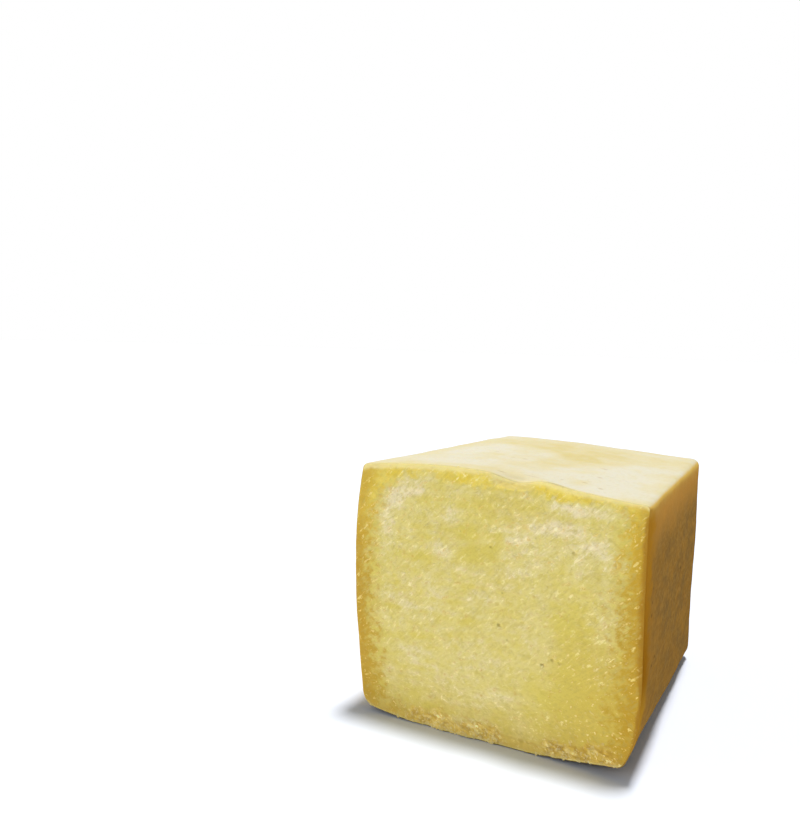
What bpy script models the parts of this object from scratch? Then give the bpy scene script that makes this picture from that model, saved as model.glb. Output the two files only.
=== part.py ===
"""Half of a block-shaped pulled-curd cheese loaf, standing on its long side.

Run it with: blender --background --python part.py

Metres, +Z up. The knife-cut face looks towards -Y, the loaf's rind end towards +Y, and the origin is on the
ground under the middle of the piece. The loaf is a swollen square bar: its cross-section is drawn at the cut
and at the rind end, and the skin is lofted between the two.
"""

import math

import bpy
import numpy as np
from mathutils import Vector, noise

# Cross-sections, as x (right) and z (up) of their corners, counter-clockwise as seen from the cut.
CUT_CORNERS = ((-0.0855, 0.0040), (0.0815, 0.0075), (0.0905, 0.1565), (-0.0865, 0.1625))
RIND_CORNERS = ((-0.0815, 0.0040), (0.0825, 0.0050), (0.0830, 0.1570), (-0.0765, 0.1625))

# How each side swells between its corners (underside, right, top, left). A side is a cubic curve, and each of
# its two handles is a pair: how far along the side it stands, as a share, and how far out, in metres.
CUT_SWELL = (
    ((0.30, 0.0090), (0.70, 0.0095)),
    ((0.20, 0.0130), (0.35, 0.0035)),
    ((0.31, 0.0010), (0.51, 0.0140)),
    ((0.33, 0.0100), (0.58, 0.0070)),
)
RIND_SWELL = (
    ((0.30, 0.0090), (0.70, 0.0090)),
    ((0.30, 0.0010), (0.70, 0.0005)),
    ((0.35, 0.0000), (0.65, 0.0040)),
    ((0.30, 0.0050), (0.70, 0.0050)),
)

# Corner radii in the same order as the corners: crisp at the knife cut, softer towards the rind end.
CUT_RADII = (0.0090, 0.0025, 0.0025, 0.0040)
RIND_RADII = (0.0100, 0.0060, 0.0060, 0.0070)

# Along the loaf.
CUT_Y = -0.1085
CUT_LEAN = 0.039
RIND_Y = 0.1085
RIND_CROWN = 0.0030
RIND_EDGE_RADIUS = 0.0110
KNIFE_EDGE = 0.0006

# The cut's top edge: a shallow scoop where the rind curls down over the paste, and the small rise beside it.
# Each is the x of its middle, its half width, and how far it presses the edge in.
EDGE_FORMS = ((0.0135, 0.0180, 0.0050), (0.0360, 0.0150, -0.0017))
EDGE_Z = 0.1640
EDGE_REACH = 0.0090

# The torn ledge along the cut's bottom edge, where the knife broke through.
LEDGE_X = 0.0330
LEDGE_HALF_WIDTH = 0.0420
LEDGE_HEIGHT = 0.0085
LEDGE_SOFTNESS = 0.0025
LEDGE_DEPTH = 0.0018

# Gentle unevenness: of the rind all round, and of the cut face.
DENT_SIZE = 0.040
DENT_DEPTH = 0.0009
WAVE_SIZE = 0.026
WAVE_DEPTH = 0.0006
PATTERN_STEP = Vector((7.3, 3.1, 5.7))
GROUND_FADE = 0.012

# How finely the skin is divided.
COLUMNS = 32
ROWS = 24
CORNER_CROWDING = 0.35
CURVE_STEPS = 200
NEAR_CUT = (0.0016, 0.0038, 0.0068, 0.0110, 0.0170)
BODY_STATIONS = 17
EDGE_STATIONS = 4

PASTE_COLOUR = (0.69, 0.60, 0.22, 1.0)
RIND_COLOUR = (0.62, 0.42, 0.16, 1.0)
SHARP_ANGLE = math.radians(50)


def clear_scene():
    for obj in list(bpy.data.objects):
        bpy.data.objects.remove(obj, do_unlink=True)


def mix(a, b, share):
    return a + (b - a) * share


def smoothstep(value):
    value = np.clip(value, 0.0, 1.0)
    return value * value * (3.0 - 2.0 * value)


def crowded(count):
    """Shares from 0 to 1 that stand closer together near both ends."""
    even = np.linspace(0.0, 1.0, count + 1)
    return even - CORNER_CROWDING * np.sin(2 * math.pi * even) / (2 * math.pi)


def side_curve(start, end, handles, shares):
    """Points of one swollen side of the section, at the given shares of its length."""
    along = end - start
    outward = np.array((along[1], -along[0])) / np.hypot(*along)
    first, second = (start + along * share + outward * out for share, out in handles)
    t = shares[:, None]
    return (
        start * (1 - t) ** 3
        + first * 3 * t * (1 - t) ** 2
        + second * 3 * t**2 * (1 - t)
        + end * t**3
    )


def section_ring(along_loaf):
    """The closed outline of the loaf at a share of its length: one row of x and z for each column of the skin."""
    corners = mix(np.array(CUT_CORNERS), np.array(RIND_CORNERS), along_loaf)
    swell = mix(np.array(CUT_SWELL), np.array(RIND_SWELL), along_loaf)
    radii = mix(np.array(CUT_RADII), np.array(RIND_RADII), along_loaf)
    even = np.linspace(0.0, 1.0, CURVE_STEPS, endpoint=False)
    sides = [side_curve(corners[k], corners[(k + 1) % 4], swell[k], even) for k in range(4)]
    outline = np.concatenate(sides)
    closed = np.concatenate((outline, outline, outline, outline[:1]))
    lengths = np.concatenate(((0.0,), np.cumsum(np.hypot(*np.diff(closed, axis=0).T))))
    halves = 0.5 * (closed[1:] + closed[:-1]) * np.diff(lengths)[:, None]
    summed = np.concatenate((np.zeros((1, 2)), np.cumsum(halves, axis=0)))
    points = []
    for k, count in enumerate((COLUMNS, ROWS, COLUMNS, ROWS)):
        first = (4 + k) * CURVE_STEPS
        start, end = lengths[first], lengths[first + CURVE_STEPS]
        for share in crowded(count)[:-1]:
            # Averaging the outline over a short stretch rounds its corners and leaves straight runs alone.
            reach = radii[k] if share < 0.5 else radii[(k + 1) % 4]
            middle = mix(start, end, share)
            window = [np.interp(middle + s, lengths, summed[:, axis]) for s in (-reach, reach) for axis in (0, 1)]
            points.append(((window[2] - window[0]) / (2 * reach), (window[3] - window[1]) / (2 * reach)))
    ring = np.array(points)
    # The swollen underside is pressed flat where it rests.
    ring[:, 1] = np.maximum(ring[:, 1], 0.0)
    return ring


def inset(ring, distance):
    """The ring drawn in by the same distance on all four sides."""
    low, high = ring.min(axis=0), ring.max(axis=0)
    middle = (low + high) / 2
    return middle + (ring - middle) * (1 - 2 * distance / (high - low))


def cut_plane(z):
    return CUT_Y - CUT_LEAN * z


def skin_rings():
    """All rings from the cut to the rind end, as one array of points."""
    rings = []
    front = section_ring(0.0)
    edge = inset(front, KNIFE_EDGE)
    rings.append(np.column_stack((edge[:, 0], cut_plane(edge[:, 1]), edge[:, 1])))
    last_share = 1 - RIND_EDGE_RADIUS / (RIND_Y - CUT_Y)
    near = [KNIFE_EDGE] + list(NEAR_CUT)
    near_shares = [distance / (RIND_Y - CUT_Y) for distance in near]
    body_shares = np.linspace(near_shares[-1], last_share, BODY_STATIONS + 1)[1:]
    for share in near_shares + list(body_shares):
        ring = section_ring(share)
        y = mix(cut_plane(ring[:, 1]), RIND_Y, share)
        rings.append(np.column_stack((ring[:, 0], y, ring[:, 1])))
    for step in range(1, EDGE_STATIONS + 1):
        turn = 0.5 * math.pi * step / EDGE_STATIONS
        ring = inset(section_ring(1.0), RIND_EDGE_RADIUS * (1 - math.cos(turn)))
        y = RIND_Y - RIND_EDGE_RADIUS * (1 - math.sin(turn))
        rings.append(np.column_stack((ring[:, 0], np.full(len(ring), y), ring[:, 1])))
    return np.array(rings)


def cap_numbers(ring_start, inner_start):
    """Vertex numbers of an end face as a grid: its rim is the ring, its inside the vertices after inner_start."""
    numbers = np.empty((COLUMNS + 1, ROWS + 1), int)
    count = 2 * (COLUMNS + ROWS)
    for i in range(COLUMNS + 1):
        numbers[i, 0] = ring_start + i
        numbers[i, ROWS] = ring_start + 2 * COLUMNS + ROWS - i
    for j in range(ROWS + 1):
        numbers[COLUMNS, j] = ring_start + COLUMNS + j
        numbers[0, j] = ring_start + (count - j) % count
    inner = np.arange((COLUMNS - 1) * (ROWS - 1)).reshape(COLUMNS - 1, ROWS - 1)
    numbers[1:-1, 1:-1] = inner_start + inner
    return numbers


def cap_points(rim):
    """The inside of an end face, blended across from its rim."""
    grid = rim[cap_numbers(0, 0) % len(rim)]
    u = crowded(COLUMNS)[:, None, None]
    v = crowded(ROWS)[None, :, None]
    across = mix(grid[:1, :], grid[-1:, :], u)
    upward = mix(grid[:, :1], grid[:, -1:], v)
    corners = mix(mix(grid[0, 0], grid[-1, 0], u), mix(grid[0, -1], grid[-1, -1], u), v)
    blended = across + upward - corners
    return blended[1:-1, 1:-1], u[1:-1], v[:, 1:-1]


def grid_faces(numbers):
    faces = []
    for i in range(numbers.shape[0] - 1):
        for j in range(numbers.shape[1] - 1):
            faces.append((numbers[i, j], numbers[i + 1, j], numbers[i + 1, j + 1], numbers[i, j + 1]))
    return faces


def loft():
    """Points and faces of the plain swollen bar, and which of its points lie on the cut face."""
    rings = skin_rings()
    stations, around = rings.shape[:2]
    skin = rings.reshape(-1, 3)
    front, _, _ = cap_points(rings[0])
    back, u, v = cap_points(rings[-1])
    back[..., 1] += RIND_CROWN * (16 * u * (1 - u) * v * (1 - v))[..., 0]
    front_start = len(skin)
    back_start = front_start + front.shape[0] * front.shape[1]
    points = np.concatenate((skin, front.reshape(-1, 3), back.reshape(-1, 3)))
    faces = grid_faces(cap_numbers(0, front_start))
    faces += [face[::-1] for face in grid_faces(cap_numbers((stations - 1) * around, back_start))]
    for station in range(stations - 1):
        for k in range(around):
            here, beside = station * around + k, station * around + (k + 1) % around
            faces.append((here, here + around, beside + around, beside))
    on_cut = np.zeros(len(points), bool)
    on_cut[:around] = True
    on_cut[front_start:back_start] = True
    return points, faces, on_cut


def uneven(points, size, pattern):
    """Soft noise between about -1 and 1 at each point. The pattern number picks one of many."""
    shift = PATTERN_STEP * pattern
    return np.array([noise.noise(Vector(point) / size + shift) for point in points])


def with_edge_forms(points):
    """The points after the cut's top edge has been pressed in and raised."""
    from_edge = np.hypot(points[:, 2] - EDGE_Z, points[:, 1] - cut_plane(points[:, 2]))
    near_edge = smoothstep(1 - from_edge / EDGE_REACH)
    pressed = np.zeros(len(points))
    for middle, half_width, depth in EDGE_FORMS:
        across = np.clip((points[:, 0] - middle) / half_width, -1.0, 1.0)
        pressed += depth * (1 - across**2) ** 2 * near_edge
    return points + pressed[:, None] * np.array((0.0, 1.0, -1.0)) * math.sqrt(0.5)


def cut_relief(points):
    """How far each point of the cut face stands out: low waves, less the torn ledge along the bottom."""
    waves = WAVE_DEPTH * uneven(points, WAVE_SIZE, 1)
    across = np.clip((points[:, 0] - LEDGE_X) / LEDGE_HALF_WIDTH, -1.0, 1.0)
    below = smoothstep((LEDGE_HEIGHT - points[:, 2]) / LEDGE_SOFTNESS)
    return waves - LEDGE_DEPTH * (1 - across**2) * below


def vertex_normals(points, faces):
    mesh = bpy.data.meshes.new("normals")
    mesh.from_pydata(points.tolist(), [], faces)
    normals = np.empty(len(points) * 3)
    mesh.vertices.foreach_get("normal", normals)
    bpy.data.meshes.remove(mesh)
    return normals.reshape(-1, 3)


def shaped():
    points, faces, on_cut = loft()
    normals = vertex_normals(points, faces)
    off_ground = smoothstep(points[:, 2] / GROUND_FADE)
    dents = DENT_DEPTH * uneven(points, DENT_SIZE, 0) * off_ground
    relief = np.where(on_cut, cut_relief(points), 0.0)
    points = points + normals * np.where(on_cut, 0.0, dents)[:, None]
    points[:, 1] -= relief
    points = with_edge_forms(points)
    low, high = points.min(axis=0), points.max(axis=0)
    return points - np.array(((low[0] + high[0]) / 2, (low[1] + high[1]) / 2, low[2])), faces, on_cut


def material(name, colour, roughness):
    made = bpy.data.materials.new(name)
    made.use_nodes = True
    shader = made.node_tree.nodes["Principled BSDF"]
    shader.inputs["Base Color"].default_value = colour
    shader.inputs["Roughness"].default_value = roughness
    return made


def build_chunk():
    points, faces, on_cut = shaped()
    mesh = bpy.data.meshes.new("cheese_chunk")
    mesh.from_pydata(points.tolist(), [], faces)
    mesh.materials.append(material("rind", RIND_COLOUR, 0.6))
    mesh.materials.append(material("paste", PASTE_COLOUR, 0.55))
    for polygon in mesh.polygons:
        polygon.material_index = int(all(on_cut[number] for number in polygon.vertices))
    mesh.shade_smooth()
    mesh.set_sharp_from_angle(angle=SHARP_ANGLE)
    chunk = bpy.data.objects.new("cheese_chunk", mesh)
    bpy.context.collection.objects.link(chunk)
    return chunk


clear_scene()
build_chunk()
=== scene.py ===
"""Looks of a cut chunk of block-shaped pulled-curd cheese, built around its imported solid.

Metres, +Z up. The knife-cut face looks towards -Y, the loaf's rind end towards +Y, and +X is to the right as
seen from the cut. The skin repeats the solid's form on a much finer grid and adds what the solid leaves out:
the torn grain of the paste, its flakes and crumbs, the dimples of the rind, and all colour.
"""

import math

import bpy
import numpy as np
from mathutils import Matrix, Vector, noise


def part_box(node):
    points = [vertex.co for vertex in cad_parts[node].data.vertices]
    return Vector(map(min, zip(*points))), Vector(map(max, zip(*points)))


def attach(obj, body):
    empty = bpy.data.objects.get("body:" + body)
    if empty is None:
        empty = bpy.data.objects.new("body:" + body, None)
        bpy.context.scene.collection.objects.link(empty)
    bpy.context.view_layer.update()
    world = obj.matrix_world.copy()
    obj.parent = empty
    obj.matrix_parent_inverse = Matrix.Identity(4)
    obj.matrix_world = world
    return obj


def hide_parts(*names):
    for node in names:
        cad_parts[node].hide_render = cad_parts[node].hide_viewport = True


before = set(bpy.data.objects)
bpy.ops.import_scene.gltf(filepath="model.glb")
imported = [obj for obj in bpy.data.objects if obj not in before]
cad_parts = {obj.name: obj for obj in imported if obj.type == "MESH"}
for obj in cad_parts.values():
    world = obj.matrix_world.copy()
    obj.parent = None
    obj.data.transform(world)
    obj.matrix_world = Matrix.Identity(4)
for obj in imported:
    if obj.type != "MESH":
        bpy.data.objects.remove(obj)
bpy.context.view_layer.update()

NODE = "cheese_chunk"

# ---------------------------------------------------------------- form, as in the solid

# Cross-sections, as x (right) and z (up) of the corners, counter-clockwise as seen from the cut.
CUT_CORNERS = ((-0.0855, 0.0040), (0.0815, 0.0075), (0.0905, 0.1565), (-0.0865, 0.1625))
RIND_CORNERS = ((-0.0815, 0.0040), (0.0825, 0.0050), (0.0830, 0.1570), (-0.0765, 0.1625))

# How each side swells between its corners (underside, right, top, left): two handles a side, each with how
# far along the side it stands, as a share, and how far out, in metres.
CUT_SWELL = (
    ((0.30, 0.0090), (0.70, 0.0095)),
    ((0.20, 0.0130), (0.35, 0.0035)),
    ((0.31, 0.0010), (0.51, 0.0140)),
    ((0.33, 0.0100), (0.58, 0.0070)),
)
RIND_SWELL = (
    ((0.30, 0.0090), (0.70, 0.0090)),
    ((0.30, 0.0010), (0.70, 0.0005)),
    ((0.35, 0.0000), (0.65, 0.0040)),
    ((0.30, 0.0050), (0.70, 0.0050)),
)

# Corner radii in the same order as the corners.
CUT_RADII = (0.0090, 0.0025, 0.0025, 0.0040)
RIND_RADII = (0.0100, 0.0060, 0.0060, 0.0070)

# Along the loaf.
CUT_Y = -0.1085
CUT_LEAN = 0.039
RIND_Y = 0.1085
RIND_CROWN = 0.0030
RIND_EDGE_RADIUS = 0.0110
KNIFE_EDGE = 0.0006

# The scoop pressed into the cut's top edge and the small rise beside it: x, half width and how far in.
EDGE_FORMS = ((0.0135, 0.0180, 0.0050), (0.0360, 0.0150, -0.0017))
EDGE_Z = 0.1640
EDGE_REACH = 0.0090

# The torn ledge along the cut's bottom edge.
LEDGE_X = 0.0330
LEDGE_HALF_WIDTH = 0.0420
LEDGE_HEIGHT = 0.0085
LEDGE_SOFTNESS = 0.0025
LEDGE_DEPTH = 0.0018

# Gentle dents of the rind, which fade out at the ground and at the cut, and waves of the cut.
DENT_SIZE = 0.040
DENT_DEPTH = 0.0009
GROUND_FADE = 0.012
CUT_FADE = 0.005
WAVE_SIZE = 0.026
WAVE_DEPTH = 0.0006
PATTERN_STEP = Vector((7.3, 3.1, 5.7))

# How finely the skin is divided: the cut face three times as finely as the rind. The skin's points come in
# this order: the cut's rim, the cut's inside, the fine rings behind it, the coarse rings, the end's inside.
COLUMNS = 80
ROWS = 74
FINER = 3
SIDES = ("underside", "right", "top", "left")
SIDE_STEPS = (COLUMNS, ROWS, COLUMNS, ROWS)
RING_COUNT = sum(SIDE_STEPS)
RIM_COUNT = RING_COUNT * FINER
CUT_COUNT = (COLUMNS * FINER + 1) * (ROWS * FINER + 1)
CUT_FACES = COLUMNS * ROWS * FINER**2
CURVE_STEPS = 400
NEAR_CUT = (0.0006, 0.0013, 0.0022, 0.0034)
FIRST_COARSE = 0.0052
BODY_STATIONS = 76
EDGE_STATIONS = 8

# ---------------------------------------------------------------- finer relief and marks, in metres

# Torn grain of the paste: strokes that climb to the right above and fall to the right below.
STROKE_ANGLE = math.radians(46)
LEVEL_ANGLE = math.radians(4)
GRAIN_LENGTH = 0.0034
GRAIN_WIDTH = 0.0016
GRAIN_DEPTH = 0.00026

# Lumps, crumbs and tiny grains of the paste, ripples of the rind, and dust in the colour of both.
LUMP_SIZE = 0.0075
LUMP_DEPTH = 0.00026
CRUMBLE_SIZE = 0.0050
CRUMBLE_DEPTH = 0.0009
TINY_SIZE = 0.0021
RIND_RIPPLE_SIZE = 0.011
RIND_RIPPLE_DEPTH = 0.00022
DUST_SIZE = 0.0009

# What breaks up the zones of the paste: the sizes of four noises, and how far three of them push an edge.
PATCHY_SIZE = 0.024
WAVY_SIZE = 0.011
FINE_SIZE = 0.005
FINEST_SIZE = 0.0026
WAVY_PUSH = 0.0011
FINE_PUSH = 0.0014
FINEST_PUSH = 0.0010

# Widths of the drier border of the cut beside the left and right rind, and of the dark brink at its right
# edge: at the ground, then how much is added between two heights. Then the height of the border along the
# bottom, and the width of the skin's pale edge and how much thicker it is at the upper left.
LEFT_BORDER = (0.0270, (0.020, 0.085, -0.0070), (0.128, 0.156, 0.0090))
RIGHT_BORDER = (0.0265, (0.015, 0.080, -0.0030), (0.110, 0.150, -0.0050))
BRINK = (0.0020, (0.050, 0.068, 0.0027), (0.090, 0.140, -0.0015))
LOW_BORDER = 0.0180
RIM_WIDTH = 0.0030
THICK_RIM = 0.0012

# Golden, oily paste under the top rind: x, how deep it reaches down and how strong it is.
GOLD_BAND = (
    (-0.087, 0.0370, 1.00),
    (-0.079, 0.0240, 1.00),
    (-0.070, 0.0145, 0.95),
    (-0.060, 0.0080, 0.90),
    (-0.045, 0.0050, 0.80),
    (-0.026, 0.0090, 0.75),
    (-0.012, 0.0125, 0.90),
    (0.002, 0.0105, 0.70),
    (0.020, 0.0040, 0.35),
    (0.031, 0.0065, 0.90),
    (0.040, 0.0085, 1.00),
    (0.052, 0.0055, 0.90),
    (0.066, 0.0034, 0.80),
    (0.078, 0.0048, 0.85),
    (0.090, 0.0150, 1.00),
)

# How far out a patch keeps its full strength and where it ends, in shares of its half sizes.
PATCH_CORE = 0.35
PATCH_EDGE = 1.25

# Whitish patches of the cut and, with a strength below 0, smooth yellow ones: x, z, half width, half height
# and strength.
BLOOM_PATCHES = (
    (-0.0730, 0.1310, 0.0095, 0.0105, 0.38),
    (-0.0640, 0.1430, 0.0100, 0.0085, 0.50),
    (-0.0520, 0.1510, 0.0120, 0.0070, 0.46),
    (-0.0260, 0.1360, 0.0100, 0.0060, 0.26),
    (-0.0400, 0.1580, 0.0120, 0.0040, 0.25),
    (-0.0600, 0.1240, 0.0150, 0.0100, 0.08),
    (-0.0290, 0.1140, 0.0100, 0.0080, 0.20),
    (-0.0070, 0.0880, 0.0100, 0.0070, 0.22),
    (0.0160, 0.1300, 0.0120, 0.0070, 0.28),
    (0.0190, 0.1140, 0.0110, 0.0150, 0.25),
    (0.0400, 0.1370, 0.0190, 0.0060, 0.40),
    (0.0640, 0.1290, 0.0120, 0.0080, 0.42),
    (0.0730, 0.1230, 0.0090, 0.0070, 0.32),
    (0.0420, 0.1260, 0.0250, 0.0160, 0.18),
    (0.0560, 0.1510, 0.0260, 0.0070, 0.52),
    (-0.0400, 0.0800, 0.0240, 0.0180, 0.20),
    (-0.0150, 0.0400, 0.0380, 0.0230, 0.20),
    (-0.0520, 0.0480, 0.0160, 0.0080, 0.14),
    (0.0310, 0.0760, 0.0160, 0.0120, 0.12),
    (0.0700, 0.0900, 0.0110, 0.0200, 0.14),
    (-0.0220, 0.1270, 0.0190, 0.0034, -0.30),
    (-0.0500, 0.1080, 0.0150, 0.0034, -0.28),
    (-0.0650, 0.0720, 0.0180, 0.0036, -0.16),
    (-0.0700, 0.0900, 0.0150, 0.0036, -0.16),
    (-0.0680, 0.0440, 0.0140, 0.0045, -0.22),
    (-0.0080, 0.1300, 0.0160, 0.0220, -0.22),
    (0.0080, 0.1470, 0.0240, 0.0070, -0.24),
    (0.0520, 0.0700, 0.0150, 0.0420, -0.36),
    (0.0560, 0.0320, 0.0360, 0.0240, -0.34),
)

# Sizes of the two noises that make clouds all over the top rind.
CLOUD_SIZE = 0.030
CLOUDLET_SIZE = 0.013

# Clouds that are added to those: tan, or with a strength below 0 whitish: x, y, half sizes and strength.
TOP_CLOUDS = (
    (0.016, -0.018, 0.018, 0.050, 0.45),
    (-0.012, 0.055, 0.050, 0.045, 0.45),
    (0.032, 0.022, 0.020, 0.050, 0.40),
    (-0.030, -0.047, 0.011, 0.020, 0.30),
    (-0.070, -0.052, 0.010, 0.022, 0.35),
    (0.046, -0.090, 0.007, 0.012, 0.35),
    (0.064, -0.030, 0.026, 0.070, -0.45),
    (0.054, -0.088, 0.034, 0.032, -0.45),
    (-0.044, -0.030, 0.030, 0.070, -0.35),
    (-0.030, -0.092, 0.046, 0.016, -0.25),
)

# Small open pits in the paste: x, z, radius and depth.
PASTE_PITS = (
    (0.0342, 0.0564, 0.0010, 0.0012),
    (0.0400, 0.0607, 0.0008, 0.0009),
    (0.0442, 0.0598, 0.0006, 0.0007),
    (0.0074, 0.0749, 0.0012, 0.0009),
    (0.0132, 0.0669, 0.0007, 0.0006),
    (0.0012, 0.1210, 0.0009, 0.0007),
    (0.0506, 0.1249, 0.0011, 0.0008),
    (0.0094, 0.0946, 0.0007, 0.0006),
)

# Small dents in the top rind, drawn out sideways: x, y, z, then half their size along x and y.
TOP_DENTS = (
    (0.0437, -0.0234, 0.158, 0.0022, 0.0012),
    (0.0501, -0.0597, 0.158, 0.0020, 0.0012),
    (-0.0047, -0.0408, 0.163, 0.0018, 0.0010),
    (0.0479, -0.0846, 0.158, 0.0018, 0.0010),
    (0.0594, -0.0927, 0.157, 0.0019, 0.0011),
    (-0.0326, -0.0206, 0.164, 0.0018, 0.0010),
    (-0.0128, -0.0416, 0.163, 0.0015, 0.0009),
    (0.0358, -0.0898, 0.159, 0.0013, 0.0008),
    (0.0040, -0.1060, 0.161, 0.0034, 0.0007),
    (0.0215, -0.1020, 0.160, 0.0046, 0.0007),
)

# Small pits in the right rind: y, z, then half their size along y and z.
SIDE_PITS = (
    (0.0132, 0.0936, 0.0024, 0.0011),
    (-0.0872, 0.1056, 0.0016, 0.0010),
    (-0.0907, 0.0985, 0.0014, 0.0010),
    (-0.0789, 0.0637, 0.0018, 0.0012),
    (-0.0864, 0.0609, 0.0016, 0.0010),
    (-0.0905, 0.0910, 0.0018, 0.0013),
)

# The colour of a pit or dent fills an ellipsoid: how far out it is full and where it ends, in shares of the
# half sizes. In the paste, all have the same y and reach through the leaning cut, and their half width is a
# share of the pit's radius. In the right rind, all have the same x. They and the dents have the same reach.
MARK_CORE = 0.3
MARK_EDGE = 1.4
PASTE_PIT_Y = -0.115
PASTE_PIT_REACH = 0.02
PASTE_PIT_WIDTH = 0.8
SIDE_PIT_X = 0.089
DENT_REACH = 0.008

# Square panels of the skin's flat map, each a left and bottom edge and a size, in shares of the map: the cut,
# then the underside, right, top and left of the rind, and its end.
MAP_NAME = "OFBake"
MAP_PANELS = (
    (0.000, 0.000, 0.664),
    (0.668, 0.000, 0.330),
    (0.668, 0.334, 0.330),
    (0.668, 0.668, 0.330),
    (0.334, 0.668, 0.330),
    (0.000, 0.668, 0.330),
)
CUT_PANEL = 0
SIDE_PANELS = (1, 2, 3, 4)
END_PANEL = 5

# Red, green and blue light that reaches each face, as shares of what makes a white card show as white.
CUT_LIGHT = (0.850, 0.885, 0.957)
LOW_LIGHT = (0.722, 0.755, 0.845)
RIND_LIGHT = (0.770, 0.774, 0.805)
TOP_LIGHT = (1.345, 1.368, 1.365)
EDGE_LIGHT = 0.98

# The display's curve between shown values and light.
DISPLAY_OFFSET = 0.055
DISPLAY_POWER = 2.4

# How far the cut's top edge is pressed in where that counts fully, the upward part of its normals from which
# it faces up, and between which x its hollow ends. These set where painted shade goes on the pressed edge's
# upward faces, and painted light on its hollow, which faces away from the light.
PRESSED = 0.0015
FACING_UP = 0.625
HOLLOW_END = (0.010, 0.024)

# A normal's part across the loaf is divided by its own length, or by this where it is shorter.
LEAST_SIDEWAYS = 0.25

# Edges sharper than this aren't shaded smooth.
SHARP_ANGLE = math.radians(55)

# Torn flakes on the cut: their least and greatest sizes, how much they bend and turn, how much more they turn
# among crumbs, and how far from the side rinds they begin and no longer thin out.
FLAKE_SEED = 5
FLAKE_COUNT = 2400
FLAKE_LENGTH = (0.0018, 0.0040)
FLAKE_WIDTH = (0.0009, 0.0016)
FLAKE_HEIGHT = (0.00005, 0.00018)
FLAKE_BEND = 0.3
FLAKE_TURN = 0.35
CRUMB_TURN = 0.9
FLAKE_START = (0.0008, 0.0035)


def mix(a, b, share):
    return a + (b - a) * share


def unit(value):
    """The value, kept between 0 and 1."""
    return np.clip(value, 0.0, 1.0)


def smoothstep(value):
    value = unit(value)
    return value * value * (3.0 - 2.0 * value)


def between(value, low, high):
    """0 where the value is at or under low, 1 at or over high, and a smooth rise between."""
    return smoothstep((value - low) / (high - low))


def side_curve(start, end, handles, shares):
    """Points of one swollen side of the section, at the given shares of its length."""
    along = end - start
    outward = np.array((along[1], -along[0])) / np.hypot(*along)
    first, second = (start + along * share + outward * out for share, out in handles)
    t = shares[:, None]
    return (
        start * (1 - t) ** 3
        + first * 3 * t * (1 - t) ** 2
        + second * 3 * t**2 * (1 - t)
        + end * t**3
    )


def section_ring(along_loaf, finer):
    """The closed outline of the loaf at a share of its length, as one row of x and z for each point."""
    corners = mix(np.array(CUT_CORNERS), np.array(RIND_CORNERS), along_loaf)
    swell = mix(np.array(CUT_SWELL), np.array(RIND_SWELL), along_loaf)
    radii = mix(np.array(CUT_RADII), np.array(RIND_RADII), along_loaf)
    even = np.linspace(0.0, 1.0, CURVE_STEPS, endpoint=False)
    sides = [side_curve(corners[k], corners[(k + 1) % 4], swell[k], even) for k in range(4)]
    outline = np.concatenate(sides)
    closed = np.concatenate((outline, outline, outline, outline[:1]))
    lengths = np.concatenate(((0.0,), np.cumsum(np.hypot(*np.diff(closed, axis=0).T))))
    halves = 0.5 * (closed[1:] + closed[:-1]) * np.diff(lengths)[:, None]
    summed = np.concatenate((np.zeros((1, 2)), np.cumsum(halves, axis=0)))
    middles = []
    reaches = []
    for k, count in enumerate(SIDE_STEPS):
        first = (4 + k) * CURVE_STEPS
        shares = np.arange(count * finer) / (count * finer)
        middles.append(mix(lengths[first], lengths[first + CURVE_STEPS], shares))
        reaches.append(mix(radii[k], radii[(k + 1) % 4], smoothstep(shares)))
    middle = np.concatenate(middles)
    reach = np.concatenate(reaches)
    # Averaging the outline over a short stretch rounds its corners and leaves straight runs alone.
    ring = np.empty((len(middle), 2))
    for axis in (0, 1):
        after = np.interp(middle + reach, lengths, summed[:, axis])
        before = np.interp(middle - reach, lengths, summed[:, axis])
        ring[:, axis] = (after - before) / (2 * reach)
    # The swollen underside is pressed flat where it rests.
    ring[:, 1] = np.maximum(ring[:, 1], 0.0)
    return ring


def inset(ring, distance):
    """The ring drawn in by the same distance on all four sides."""
    low, high = ring.min(axis=0), ring.max(axis=0)
    middle = (low + high) / 2
    return middle + (ring - middle) * (1 - 2 * distance / (high - low))


def cut_plane(z):
    return CUT_Y - CUT_LEAN * z


def on_loaf(ring, y):
    return np.column_stack((ring[:, 0], np.broadcast_to(y, len(ring)), ring[:, 1]))


def ring_at(distance, finer):
    """The skin's ring at a distance behind the cut."""
    share = distance / (RIND_Y - CUT_Y)
    ring = section_ring(share, finer)
    return on_loaf(ring, mix(cut_plane(ring[:, 1]), RIND_Y, share))


def end_rings():
    """The rings that turn over the loaf's rounded end."""
    outline = section_ring(1.0, 1)
    rings = []
    for step in range(1, EDGE_STATIONS + 1):
        turn = 0.5 * math.pi * step / EDGE_STATIONS
        ring = inset(outline, RIND_EDGE_RADIUS * (1 - math.cos(turn)))
        rings.append(on_loaf(ring, RIND_Y - RIND_EDGE_RADIUS * (1 - math.sin(turn))))
    return rings


def cap_numbers(finer, ring_start, inner_start):
    """Vertex numbers of an end face as a grid: its rim is a ring, its inside follows from inner_start on."""
    columns, rows = COLUMNS * finer, ROWS * finer
    numbers = np.empty((columns + 1, rows + 1), int)
    count = RING_COUNT * finer
    for i in range(columns + 1):
        numbers[i, 0] = ring_start + i
        numbers[i, rows] = ring_start + 2 * columns + rows - i
    for j in range(rows + 1):
        numbers[columns, j] = ring_start + columns + j
        numbers[0, j] = ring_start + (count - j) % count
    inner = np.arange((columns - 1) * (rows - 1)).reshape(columns - 1, rows - 1)
    numbers[1:-1, 1:-1] = inner_start + inner
    return numbers


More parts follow.
